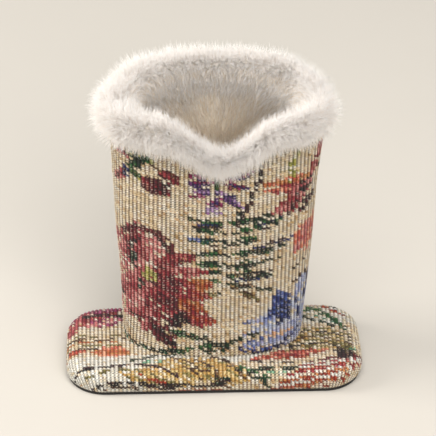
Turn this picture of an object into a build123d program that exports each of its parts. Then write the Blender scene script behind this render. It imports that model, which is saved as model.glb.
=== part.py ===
from build123d import *
import os
from math import copysign, cos, pi, sin

# A soft holder that keeps one pair of glasses upright: a stiffened oval sleeve in ribbed tapestry,
# lined with fur that rolls over its mouth as a thick cuff, standing on a padded and weighted base.
# Millimetres, +Z up, the front is towards -Y. The origin is the middle of the base's underside.

# Base
BASE_WIDTH = 123.0
BASE_DEPTH = 50.5
BASE_CORNER = 16.0
BASE_TOP = 10.5
BASE_EDGE = 5.0
SOLE_THICK = 1.2
SOLE_INSET = 0.8
COVER_THICK = 1.0
BASE_HEM = 10.0
BOARD_THICK = 3.0
WEIGHT_SIZE = (84.0, 26.0, 3.0)
WEIGHT_CORNER = 4.0
WEIGHT_CHAMFER = 0.4
WEIGHT_ROOM = 0.3
HEM_EDGE = 0.8

# Screws that hold the sleeve's foot to the base
SCREW_SPACING = 36.0
SCREW_SHANK = 3.0
SCREW_HEAD = 6.4
SCREW_HEAD_DEPTH = 1.7
SCREW_LENGTH = 12.4
SCREW_SINK = 0.2
SCREW_ROOM = 0.25
SLOT_WIDTH = 0.9
SLOT_LENGTH = 4.5
SLOT_DEPTH = 0.8

# Sleeve: an oval that widens upwards, with its own depth in front of and behind its widest line.
# Its mouth sits a little to the right of its foot
SLEEVE_Y = 6.75
SLEEVE_LEAN = 1.5
ROUNDNESS = 2.2
SECTION_POINTS = 24
FOOT_Z = 10.6
MOUTH_Z = 109.0
FOOT_HALF_WIDTH = 36.9
MOUTH_HALF_WIDTH = 43.2
FRONT_DEPTH = 19.0
FOOT_BACK_DEPTH = 16.0
MOUTH_BACK_DEPTH = 24.0
SLEEVE_COVER = 1.2
SLEEVE_HEM = 8.0
STIFFENER = 0.8
STIFFENER_GAP = 3.0
STIFFENER_SHORT = 4.0
TAPE_THICK = 0.2
TAPE_WIDTH = 24.0
LINING_INSET = 2.35
LINING_THICK = 4.0
FLOOR_THICK = 4.0
LAYER_GAP = 0.1

# Rim: level at the sides, cut down to a soft notch in front and raised at the back
RIM_Z = 118.0
RIM_RISE = 7.5
RIM_BACK_Y = 30.75
NOTCH_X = 3.5
NOTCH_HALF_WIDTH = 25.0
NOTCH_DEPTH = 12.0
CUFF_HALF_WIDTH = 7.8
CUFF_HALF_HEIGHT = 8.3
CUFF_INSET = 1.6
CUFF_ROOM = 0.4
CUFF_ROOF = 1.6
WALL_LEAN = 0.7
CUFF_SPANS = 18
TURN_STEP = 0.02
LAYER_SPARE = 5.0
CUTTER_SPARE = 20.0
CUTTER_STEPS = 6

# Sewing thread
THREAD = 0.6
THREAD_LIFT = 0.06
SEAM_STITCH = 3.2
SEAM_PITCH = 4.2
FOOT_STITCH = 1.8
FOOT_STITCHES = 44
CUFF_STITCH = 1.8
CUFF_STITCHES = 40
STITCH_CLEAR = 0.4

# Worked out from the above
BOARD_BOTTOM = SOLE_THICK + COVER_THICK
BOARD_TOP = BOARD_BOTTOM + BOARD_THICK
WEIGHT_TOP = BOARD_TOP + WEIGHT_SIZE[2]
INNER_TOP = BASE_TOP - COVER_THICK
FOOT_BOARD_BOTTOM = FOOT_Z + SLEEVE_COVER
FOOT_BOARD_TOP = FOOT_BOARD_BOTTOM + BOARD_THICK
FLOOR_TOP = FOOT_BOARD_TOP + FLOOR_THICK
LAYER_TOP = RIM_Z + RIM_RISE + LAYER_SPARE
ABOVE_RIM = LAYER_TOP + CUTTER_SPARE
CAVITY_INSET = LINING_INSET + LINING_THICK
WALL_OUT = CUFF_INSET + CUFF_ROOM
WALL_IN = CAVITY_INSET - CUFF_INSET + CUFF_ROOM + WALL_LEAN
STIFFENER_INSET = SLEEVE_COVER
FOOT_BOARD_INSET = SLEEVE_COVER + STIFFENER + LAYER_GAP
SLEEVE_HEM_INSET = SLEEVE_COVER + SLEEVE_HEM
TAPE_INSET = STIFFENER_INSET + STIFFENER + LAYER_GAP / 2
THREAD_INSET = -(THREAD / 2 + THREAD_LIFT)
SEAM_BOTTOM = FOOT_Z + SEAM_PITCH
SEAM_STITCHES = int((RIM_Z - CUFF_HALF_HEIGHT - SEAM_BOTTOM) / SEAM_PITCH)
SCREW_X = SCREW_SPACING / 2
SCREW_Z = SOLE_THICK + SCREW_SINK
BACK = pi / 2


def oval_point(height, inset, angle):
    """One point of the sleeve's section at a height, drawn in from the outer face by an inset."""
    up = (height - FOOT_Z) / (MOUTH_Z - FOOT_Z)
    half_width = FOOT_HALF_WIDTH + (MOUTH_HALF_WIDTH - FOOT_HALF_WIDTH) * up - inset
    back = FOOT_BACK_DEPTH + (MOUTH_BACK_DEPTH - FOOT_BACK_DEPTH) * up - inset
    front = FRONT_DEPTH - inset
    x = copysign(abs(cos(angle)) ** (2 / ROUNDNESS), cos(angle)) * half_width
    y = copysign(abs(sin(angle)) ** (2 / ROUNDNESS), sin(angle)) * (back if sin(angle) > 0 else front)
    return SLEEVE_LEAN * up + x, SLEEVE_Y + y


def oval(height, inset):
    """The sleeve's section at a height, as a level face."""
    turns = [2 * pi * (step + 0.5) / SECTION_POINTS for step in range(SECTION_POINTS)]
    with BuildSketch(Plane.XY.offset(height)) as section:
        with BuildLine():
            Spline([oval_point(height, inset, turn) for turn in turns], periodic=True)
        make_face()
    return section.sketch


def notch_drop(x):
    """How far the front rim sits below the sides at x: one smooth dip."""
    reach = min(abs(x - NOTCH_X) / NOTCH_HALF_WIDTH, 1.0)
    return NOTCH_DEPTH * cos(pi / 2 * reach) ** 2


def back_rise(y):
    """How far the rim stands above the sides at y, behind the sleeve's widest line."""
    reach = min(max((y - SLEEVE_Y) / (RIM_BACK_Y - SLEEVE_Y), 0.0), 1.0)
    return RIM_RISE * reach * reach * (3 - 2 * reach)


def rim_point(turn, inset):
    """A point of the rim, its height taken from the notch in front or the rise behind."""
    x, y = oval_point(RIM_Z, inset, turn)
    height = RIM_Z + back_rise(y) if y > SLEEVE_Y else RIM_Z - notch_drop(x)
    return *oval_point(height, inset, turn), height


def base_outline(inset):
    """The base's plan inside its outer side by an inset, as a rounded rectangle."""
    RectangleRounded(BASE_WIDTH - 2 * inset, BASE_DEPTH - 2 * inset, BASE_CORNER - inset)


def layer(bottom, outer_inset, inner_inset):
    """One wall of the sleeve between two insets, from a height to well above the rim."""
    loft([oval(bottom, outer_inset), oval(LAYER_TOP, outer_inset)], ruled=True)
    loft([oval(bottom, inner_inset), oval(LAYER_TOP, inner_inset)], ruled=True, mode=Mode.SUBTRACT)


def cuff_section(turn):
    """The cuff's upright section at a turn: an oval, slotted from below for the wall that it wraps."""
    before = Vector(*oval_point(RIM_Z, CUFF_INSET, turn - TURN_STEP))
    after = Vector(*oval_point(RIM_Z, CUFF_INSET, turn + TURN_STEP))
    backward = (before - after).normalized()
    outward = Vector(0, 0, 1).cross(backward)
    upright = Plane(origin=rim_point(turn, CUFF_INSET), x_dir=outward, z_dir=backward)
    with BuildSketch(upright) as section:
        Ellipse(CUFF_HALF_WIDTH, CUFF_HALF_HEIGHT)
        with Locations(((WALL_OUT - WALL_IN) / 2, CUFF_ROOF - CUFF_HALF_HEIGHT)):
            Rectangle(WALL_OUT + WALL_IN, 2 * CUFF_HALF_HEIGHT, mode=Mode.SUBTRACT)
    return section.sketch


def stitch(turn, bottom, length):
    """One short length of thread lying up the sleeve's outer face."""
    low = Vector(*oval_point(bottom, THREAD_INSET, turn), bottom)
    high = Vector(*oval_point(bottom + length, THREAD_INSET, turn), bottom + length)
    with Locations(Plane(origin=(low + high) / 2, z_dir=high - low)):
        Cylinder(THREAD / 2, (high - low).length)


# Everything above the rim, kept only to trim the sleeve's layers
with BuildPart() as above_rim:
    with BuildSketch(Plane.YZ.offset(-BASE_WIDTH / 2)):
        with BuildLine():
            rise_span = RIM_BACK_Y - SLEEVE_Y
            rise_steps = [SLEEVE_Y + rise_span * step / CUTTER_STEPS for step in range(CUTTER_STEPS + 1)]
            risen = Spline([(y, RIM_Z + back_rise(y)) for y in rise_steps], tangents=((1, 0), (1, 0)))
            Polyline(
                risen @ 1,
                (BASE_DEPTH, RIM_Z + RIM_RISE),
                (BASE_DEPTH, ABOVE_RIM),
                (-BASE_DEPTH, ABOVE_RIM),
                (-BASE_DEPTH, RIM_Z),
                risen @ 0,
            )
        make_face()
    extrude(amount=BASE_WIDTH)
    with BuildSketch(Plane.XZ.offset(-SLEEVE_Y)):
        with BuildLine():
            dip_range = range(-CUTTER_STEPS, CUTTER_STEPS + 1)
            dip_steps = [NOTCH_X + NOTCH_HALF_WIDTH * step / CUTTER_STEPS for step in dip_range]
            dip = Spline([(x, RIM_Z - notch_drop(x)) for x in dip_steps], tangents=((1, 0), (1, 0)))
            Polyline(
                dip @ 1,
                (NOTCH_X + NOTCH_HALF_WIDTH, ABOVE_RIM),
                (NOTCH_X - NOTCH_HALF_WIDTH, ABOVE_RIM),
                dip @ 0,
            )
        make_face()
    extrude(amount=BASE_DEPTH)


# The room inside the base's cover, kept only to hollow it
with BuildPart() as base_core:
    with BuildSketch(Plane.XY.offset(BOARD_BOTTOM)):
        base_outline(COVER_THICK)
    extrude(amount=INNER_TOP - BOARD_BOTTOM)
    fillet(base_core.faces().sort_by(Axis.Z)[-1].edges(), BASE_EDGE - COVER_THICK)


# Sole: a thin black non-slip sheet under the whole base
with BuildPart() as base_sole:
    with BuildSketch():
        base_outline(SOLE_INSET)
    extrude(amount=SOLE_THICK)
base_sole.part.label = "base_sole"


# Board: carries the base, with a step round its underside that takes the cover's turned hem
with BuildPart() as base_board:
    with BuildSketch(Plane.XY.offset(BOARD_BOTTOM)):
        base_outline(COVER_THICK)
    extrude(amount=BOARD_THICK)
    with BuildSketch(Plane.XY.offset(SOLE_THICK)):
        base_outline(COVER_THICK + BASE_HEM)
    extrude(amount=COVER_THICK)
    with Locations(Plane(origin=(0, SLEEVE_Y, SOLE_THICK), z_dir=(0, 0, -1))):
        with GridLocations(SCREW_SPACING, 0, 2, 1):
            CounterSinkHole(SCREW_SHANK / 2 + SCREW_ROOM, SCREW_HEAD / 2 + SCREW_ROOM)
base_board.part.label = "base_board"


# Weight: a steel plate that keeps the stand upright
with BuildPart() as base_weight:
    with BuildSketch(Plane.XY.offset(BOARD_TOP)):
        RectangleRounded(WEIGHT_SIZE[0], WEIGHT_SIZE[1], WEIGHT_CORNER)
        with Locations((0, SLEEVE_Y)):
            with GridLocations(SCREW_SPACING, 0, 2, 1):
                Circle(SCREW_SHANK / 2 + 2 * SCREW_ROOM, mode=Mode.SUBTRACT)
    extrude(amount=WEIGHT_SIZE[2])
    chamfer(base_weight.faces().sort_by(Axis.Z)[-1].outer_wire().edges(), WEIGHT_CHAMFER)
base_weight.part.label = "base_weight"


# Padding: foam over the board, hollowed underneath for the weight and drilled for the screws
with BuildPart() as base_padding:
    with BuildSketch(Plane.XY.offset(BOARD_TOP)):
        base_outline(COVER_THICK)
    extrude(amount=INNER_TOP - BOARD_TOP)
    fillet(base_padding.faces().sort_by(Axis.Z)[-1].edges(), BASE_EDGE - COVER_THICK)
    with BuildSketch(Plane.XY.offset(BOARD_TOP)):
        RectangleRounded(
            WEIGHT_SIZE[0] + 2 * WEIGHT_ROOM, WEIGHT_SIZE[1] + 2 * WEIGHT_ROOM, WEIGHT_CORNER + WEIGHT_ROOM
        )
    extrude(amount=WEIGHT_SIZE[2], mode=Mode.SUBTRACT)
    with Locations((0, SLEEVE_Y, INNER_TOP)):
        with GridLocations(SCREW_SPACING, 0, 2, 1):
            Hole(SCREW_SHANK / 2 + SCREW_ROOM)
base_padding.part.label = "base_padding"


# Base cover: tapestry stretched over the padding and turned in under the board
with BuildPart() as base_cover:
    with BuildSketch(Plane.XY.offset(SOLE_THICK)):
        base_outline(0)
    extrude(amount=BASE_TOP - SOLE_THICK)
    fillet(base_cover.faces().sort_by(Axis.Z)[-1].edges(), BASE_EDGE)
    fillet(base_cover.faces().sort_by(Axis.Z)[0].edges(), HEM_EDGE)
    add(base_core.part, mode=Mode.SUBTRACT)
    with BuildSketch(Plane.XY.offset(SOLE_THICK)):
        base_outline(COVER_THICK + BASE_HEM)
    extrude(amount=COVER_THICK, mode=Mode.SUBTRACT)
    with Locations((0, SLEEVE_Y, BASE_TOP)):
        with GridLocations(SCREW_SPACING, 0, 2, 1):
            Hole(SCREW_SHANK / 2 + SCREW_ROOM)
base_cover.part.label = "base_cover"


# Foot board: closes the sleeve's lower end, with the same step for the sleeve cover's hem
with BuildPart() as foot_board:
    loft(
        [oval(FOOT_BOARD_BOTTOM, FOOT_BOARD_INSET), oval(FOOT_BOARD_TOP, FOOT_BOARD_INSET)],
        ruled=True,
    )
    loft([oval(FOOT_Z, SLEEVE_HEM_INSET), oval(FOOT_BOARD_BOTTOM, SLEEVE_HEM_INSET)], ruled=True)
    with Locations((0, SLEEVE_Y, FOOT_BOARD_TOP)):
        with GridLocations(SCREW_SPACING, 0, 2, 1):
            Hole(SCREW_SHANK / 2)
foot_board.part.label = "foot_board"


# Screws: two countersunk screws from under the board up into the foot board
with BuildPart() as foot_screws:
    with BuildSketch(Plane.XZ.offset(-SLEEVE_Y)):
        with BuildLine():
            Polyline(
                (SCREW_X, SCREW_Z),
                (SCREW_X + SCREW_HEAD / 2, SCREW_Z),
                (SCREW_X + SCREW_SHANK / 2, SCREW_Z + SCREW_HEAD_DEPTH),
                (SCREW_X + SCREW_SHANK / 2, SCREW_Z + SCREW_LENGTH - SCREW_SHANK / 2),
                (SCREW_X, SCREW_Z + SCREW_LENGTH),
                close=True,
            )
        make_face()
    revolve(axis=Axis((SCREW_X, SLEEVE_Y, 0), (0, 0, 1)))
    with Locations((SCREW_X, SLEEVE_Y, SCREW_Z)):
        Box(SLOT_LENGTH, SLOT_WIDTH, 2 * SLOT_DEPTH, mode=Mode.SUBTRACT)
    mirror(about=Plane.YZ)
foot_screws.part.label = "foot_screws"


# Stiffener: a board sheet bent round the foot board, its two ends a little apart at the back
with BuildPart() as sleeve_stiffener:
    layer(FOOT_BOARD_BOTTOM, STIFFENER_INSET, STIFFENER_INSET + STIFFENER)
    add(above_rim.part.moved(Location((0, 0, -STIFFENER_SHORT))), mode=Mode.SUBTRACT)
    with BuildSketch(Plane.XY.offset(FOOT_Z)):
        with Locations((0, SLEEVE_Y + MOUTH_BACK_DEPTH)):
            Rectangle(STIFFENER_GAP, 2 * MOUTH_BACK_DEPTH)
    extrude(amount=ABOVE_RIM, mode=Mode.SUBTRACT)
sleeve_stiffener.part.label = "sleeve_stiffener"


# Tape: a paper strip up the inside of the back that joins the stiffener's two ends
with BuildPart() as stiffener_tape:
    layer(FOOT_BOARD_TOP, TAPE_INSET, TAPE_INSET + TAPE_THICK)
    add(above_rim.part.moved(Location((0, 0, -2 * STIFFENER_SHORT))), mode=Mode.SUBTRACT)
    with BuildSketch(Plane.XY.offset(FOOT_Z)):
        with Locations((0, SLEEVE_Y + MOUTH_BACK_DEPTH)):
            Rectangle(TAPE_WIDTH, 2 * MOUTH_BACK_DEPTH)
    extrude(amount=ABOVE_RIM, mode=Mode.INTERSECT)
stiffener_tape.part.label = "stiffener_tape"


# Sleeve cover: tapestry round the stiffener, its lower hem turned in under the foot board
with BuildPart() as sleeve_cover:
    layer(FOOT_BOARD_BOTTOM, 0, SLEEVE_COVER)
    loft([oval(FOOT_Z, 0), oval(FOOT_BOARD_BOTTOM, 0)], ruled=True)
    loft(
        [oval(FOOT_Z, SLEEVE_HEM_INSET), oval(FOOT_BOARD_BOTTOM, SLEEVE_HEM_INSET)],
        ruled=True,
        mode=Mode.SUBTRACT,
    )
    add(above_rim.part, mode=Mode.SUBTRACT)
sleeve_cover.part.label = "sleeve_cover"


# Back seam: the thread that joins the two edges of the sleeve's tapestry
with BuildPart() as back_seam_thread:
    for step in range(SEAM_STITCHES):
        stitch(BACK, SEAM_BOTTOM + step * SEAM_PITCH, SEAM_STITCH)
back_seam_thread.part.label = "back_seam_thread"


# Foot stitches: short stitches round the foot that tie the sleeve's tapestry to the base's
with BuildPart() as foot_stitches:
    for step in range(FOOT_STITCHES):
        stitch(2 * pi * (step + 0.5) / FOOT_STITCHES, FOOT_Z + STITCH_CLEAR, FOOT_STITCH)
foot_stitches.part.label = "foot_stitches"


# Lining: a fur tube inside the stiffener, from the floor pad up to the rim
with BuildPart() as fur_lining:
    layer(FLOOR_TOP + LAYER_GAP, LINING_INSET, CAVITY_INSET)
    add(above_rim.part, mode=Mode.SUBTRACT)
fur_lining.part.label = "fur_lining"


# Floor pad: a fur disc on the foot board, under the lining
with BuildPart() as lining_floor:
    loft([oval(FOOT_BOARD_TOP, LINING_INSET), oval(FLOOR_TOP, LINING_INSET)], ruled=True)
lining_floor.part.label = "lining_floor"


# Cuff: the thick roll of fur over the rim, slotted underneath for the wall that it wraps
with BuildPart() as fur_cuff:
    loft([cuff_section(pi * step / CUFF_SPANS) for step in range(CUFF_SPANS + 1)])
    loft([cuff_section(pi + pi * step / CUFF_SPANS) for step in range(CUFF_SPANS + 1)])
fur_cuff.part.label = "fur_cuff"


# Cuff stitches: short stitches that tie the cuff's outer edge down to the sleeve's tapestry
with BuildPart() as cuff_stitches:
    for step in range(CUFF_STITCHES):
        cuff_turn = 2 * pi * (step + 0.5) / CUFF_STITCHES
        cuff_bottom = rim_point(cuff_turn, CUFF_INSET)[2] - CUFF_HALF_HEIGHT
        stitch(cuff_turn, cuff_bottom - CUFF_STITCH, CUFF_STITCH)
cuff_stitches.part.label = "cuff_stitches"


os.makedirs("parts", exist_ok=True)
export_step(base_sole.part, "parts/base_sole.step")
export_step(base_board.part, "parts/base_board.step")
export_step(base_weight.part, "parts/base_weight.step")
export_step(base_padding.part, "parts/base_padding.step")
export_step(base_cover.part, "parts/base_cover.step")
export_step(foot_board.part, "parts/foot_board.step")
export_step(foot_screws.part, "parts/foot_screws.step")
export_step(sleeve_stiffener.part, "parts/sleeve_stiffener.step")
export_step(stiffener_tape.part, "parts/stiffener_tape.step")
export_step(sleeve_cover.part, "parts/sleeve_cover.step")
export_step(back_seam_thread.part, "parts/back_seam_thread.step")
export_step(foot_stitches.part, "parts/foot_stitches.step")
export_step(fur_lining.part, "parts/fur_lining.step")
export_step(lining_floor.part, "parts/lining_floor.step")
export_step(fur_cuff.part, "parts/fur_cuff.step")
export_step(cuff_stitches.part, "parts/cuff_stitches.step")
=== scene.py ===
import math

import bpy
import numpy as np
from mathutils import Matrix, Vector, noise


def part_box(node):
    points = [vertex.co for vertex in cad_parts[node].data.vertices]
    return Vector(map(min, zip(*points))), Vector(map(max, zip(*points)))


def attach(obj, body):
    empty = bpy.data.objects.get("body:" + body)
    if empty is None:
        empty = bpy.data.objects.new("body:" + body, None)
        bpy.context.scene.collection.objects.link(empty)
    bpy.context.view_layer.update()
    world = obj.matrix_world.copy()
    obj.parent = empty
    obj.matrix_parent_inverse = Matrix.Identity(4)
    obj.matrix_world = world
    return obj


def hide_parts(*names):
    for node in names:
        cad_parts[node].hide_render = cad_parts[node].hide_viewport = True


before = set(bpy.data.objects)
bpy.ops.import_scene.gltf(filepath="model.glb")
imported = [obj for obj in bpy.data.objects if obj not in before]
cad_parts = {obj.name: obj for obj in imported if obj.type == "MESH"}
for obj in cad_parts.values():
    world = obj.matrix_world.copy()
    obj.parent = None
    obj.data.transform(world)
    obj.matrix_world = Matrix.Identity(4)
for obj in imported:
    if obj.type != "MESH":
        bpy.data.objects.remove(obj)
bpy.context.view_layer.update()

# A soft stand-up case for glasses: a tapestry sleeve with a fur lining and cuff, on a padded base.
# Shapes are worked out in millimetres in the frame's axes and turned into metres when a mesh is made.
MM = 0.001
SMALLEST_FACE = 0.004


def span(node):
    """A CAD node's lowest and highest corners."""
    low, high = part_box(node)
    return np.array(low) / MM, np.array(high) / MM


# ---- sizes from the frame

BASE_LOW, BASE_HIGH = span("base_cover")
CORE_LOW, CORE_HIGH = span("base_padding")
SLEEVE_LOW, SLEEVE_HIGH = span("sleeve_cover")
BOARD_HIGH = span("foot_board")[1]
FLOOR_LOW = span("lining_floor")[0]
SCREW_LOW, SCREW_HIGH = span("foot_screws")
WEIGHT_LOW, WEIGHT_HIGH = span("base_weight")
SEAM_HIGH = span("back_seam_thread")[1]

BASE_EDGE = 5.0
BASE_CORNER = 16.0
SLEEVE_Y = (SCREW_LOW[1] + SCREW_HIGH[1]) / 2
ROUNDNESS = 2.2
FOOT_Z = SLEEVE_LOW[2]
BOARD_INSET = 2.1
FOOT_ROOM = 0.3
FOOT_HALF = BOARD_HIGH[0] + BOARD_INSET - FOOT_ROOM
FOOT_BACK = BOARD_HIGH[1] + BOARD_INSET - SLEEVE_Y - FOOT_ROOM
FRONT = SLEEVE_Y - SLEEVE_LOW[1]
SIDE_FLARE = 0.064
BACK_FLARE = 0.0813
RIM_RISE = 7.5
RIM_BACK_Y = SLEEVE_Y + 24.0
RIM_Z = SLEEVE_HIGH[2] - RIM_RISE
NOTCH_X = 3.5
NOTCH_HALF = 25.0
NOTCH_DEPTH = 12.0
SLEEVE_LEAN = 1.5 / 98.4


# ---- small helpers


def linear(red, green, blue):
    """A screen colour from 0-255 values, as the linear values that shaders use."""
    shown = np.array((red, green, blue)) / 255
    return np.where(shown <= 0.04045, shown / 12.92, ((shown + 0.055) / 1.055) ** 2.4)


def tones(*colours):
    """Thread colours from 0-255 screen values."""
    return [linear(*colour) for colour in colours]


def new_mesh(name, points, faces, smooth=True):
    """A mesh object from points and an array of quads or triangles."""
    mesh = bpy.data.meshes.new(name)
    faces = np.asarray(faces, np.int32)
    corners = faces.shape[1]
    mesh.vertices.add(len(points))
    mesh.vertices.foreach_set("co", (np.asarray(points, float) * MM).astype(np.float32).ravel())
    mesh.loops.add(faces.size)
    mesh.loops.foreach_set("vertex_index", faces.ravel())
    mesh.polygons.add(len(faces))
    mesh.polygons.foreach_set("loop_start", np.arange(0, faces.size, corners, dtype=np.int32))
    mesh.polygons.foreach_set("use_smooth", np.full(len(faces), smooth))
    mesh.update(calc_edges=True)
    mesh.validate()
    thing = bpy.data.objects.new(name, mesh)
    bpy.context.scene.collection.objects.link(thing)
    return thing


def grid_faces(rows, columns, closed=False):
    """Quads of a grid stored row by row; closed joins the last column to the first."""
    across = columns if closed else columns - 1
    row, column = np.meshgrid(np.arange(rows - 1), np.arange(across), indexing="ij")
    after = (column + 1) % columns
    low, high = row * columns, (row + 1) * columns
    return np.stack([low + column, low + after, high + after, high + column], axis=-1).reshape(-1, 4)


def tidy(points, faces):
    """Drops collapsed faces and the points that no face uses."""
    a, b, c, d = (points[faces[:, k]] for k in range(4))
    area = np.linalg.norm(np.cross(c - a, d - b), axis=1) / 2
    faces = faces[area > SMALLEST_FACE]
    used, where = np.unique(faces, return_inverse=True)
    return used, where.reshape(faces.shape)


def surface_normals(grid, closed):
    """Unit normals of a grid of points: the way along its columns crossed with the way up its rows."""
    along_rows = np.gradient(grid, axis=0)
    if closed:
        along_columns = (np.roll(grid, -1, axis=1) - np.roll(grid, 1, axis=1)) / 2
    else:
        along_columns = np.gradient(grid, axis=1)
    normal = np.cross(along_columns, along_rows)
    return normal / np.maximum(np.linalg.norm(normal, axis=-1, keepdims=True), 1e-9)


def unit(vectors):
    """Vectors at length 1."""
    return vectors / np.linalg.norm(vectors, axis=-1, keepdims=True)


def wander(points, size, seed):
    """Smooth noise from -1 to 1 at points, in lumps of a given size."""
    shift = Vector((seed * 17.3, seed * 5.1, seed * 9.7))
    flat = np.asarray(points, float).reshape(-1, 3) / size
    found = [noise.noise(Vector(p) + shift) for p in flat]
    return np.array(found).reshape(np.shape(points)[:-1])


# ---- the sleeve's shape


def oval(turn, z, inset=0.0):
    """Points of the sleeve's section at a height, an inset in from its outer face."""
    half = FOOT_HALF + SIDE_FLARE * (z - FOOT_Z) - inset
    back = FOOT_BACK + BACK_FLARE * (z - FOOT_Z) - inset
    depth = np.where(np.sin(turn) > 0, back, FRONT - inset)
    x = np.sign(np.cos(turn)) * np.abs(np.cos(turn)) ** (2 / ROUNDNESS) * half
    y = np.sign(np.sin(turn)) * np.abs(np.sin(turn)) ** (2 / ROUNDNESS) * depth
    return x + SLEEVE_LEAN * (z - FOOT_Z), SLEEVE_Y + y


def rim_height(x, y):
    """The height of the wall's upper edge: a notch in front, a rise behind."""
    reach = np.clip(np.abs(x - NOTCH_X) / NOTCH_HALF, 0, 1)
    notch = NOTCH_DEPTH * np.cos(math.pi / 2 * reach) ** 2
    climb = np.clip((y - SLEEVE_Y) / (RIM_BACK_Y - SLEEVE_Y), 0, 1)
    return RIM_Z + np.where(y > SLEEVE_Y, RIM_RISE * climb**2 * (3 - 2 * climb), -notch)


BACK_TURNS = np.linspace(math.pi / 2, 2.5 * math.pi, 721)


def round_length(z, inset=0.0):
    """How far round the section each of BACK_TURNS lies from the middle of the front."""
    x, y = oval(BACK_TURNS, z, inset)
    length = np.concatenate([[0], np.cumsum(np.hypot(np.diff(x), np.diff(y)))])
    return length - length[-1] / 2


# ---- thread colours

CREAM = tones((244, 232, 208), (238, 222, 192), (228, 208, 172), (250, 243, 226))
PEARL = tones((238, 234, 222), (230, 224, 208), (246, 244, 236))
TAN = tones((210, 180, 134), (190, 156, 106), (210, 170, 126), (216, 198, 158))
SPECKS = tones((74, 54, 36), (114, 80, 48), (96, 56, 44), (48, 38, 32))
WINE = tones((98, 30, 38), (76, 26, 34), (120, 40, 48))
RED = tones((154, 44, 54), (134, 36, 46), (178, 66, 72))
ROSE = tones((200, 104, 106), (182, 78, 84), (220, 150, 142))
PINK = tones((232, 168, 160), (214, 110, 112), (238, 204, 190))
SHADE = tones((46, 30, 34), (34, 30, 30), (64, 34, 38))
GREEN = tones((38, 88, 46), (28, 66, 40), (58, 110, 58))
PINE = tones((22, 46, 32), (30, 58, 38), (30, 34, 30))
MINT = tones((84, 158, 122), (44, 112, 84), (150, 196, 160))
LIME = tones((172, 168, 66), (140, 142, 60), (196, 186, 110))
NAVY = tones((30, 40, 92), (42, 54, 116), (26, 30, 60))
BLUE = tones((72, 94, 164), (96, 118, 184), (52, 68, 134))
HAZE = tones((158, 162, 210), (176, 186, 224), (132, 146, 200), (206, 208, 226))
PALE = tones((190, 200, 230), (206, 212, 232), (172, 184, 220), (222, 222, 230))
PURPLE = tones((70, 46, 108), (52, 40, 96), (98, 54, 112))
PLUM = tones((150, 40, 92), (124, 34, 72), (172, 70, 120))
LILAC = tones((176, 140, 190), (160, 100, 160), (198, 176, 208))
CORAL = tones((230, 124, 96), (214, 92, 74), (240, 170, 136))
ORANGE = tones((196, 110, 58), (176, 88, 48), (214, 144, 82))
RUST = tones((160, 52, 32), (182, 70, 40), (134, 40, 28))
BROWN = tones((84, 52, 34), (62, 40, 30), (110, 74, 46))
OLIVE = tones((122, 112, 56), (96, 86, 44), (150, 136, 80))
OCHRE = tones((206, 166, 92), (188, 142, 70), (224, 196, 134))
PEACH = tones((240, 192, 150), (232, 168, 120), (246, 216, 186))


def ahead(x, y, length, turn):
    """The place at a distance from a point, in a direction in degrees."""
    return x + length * math.cos(math.radians(turn)), y + length * math.sin(math.radians(turn))


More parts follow.
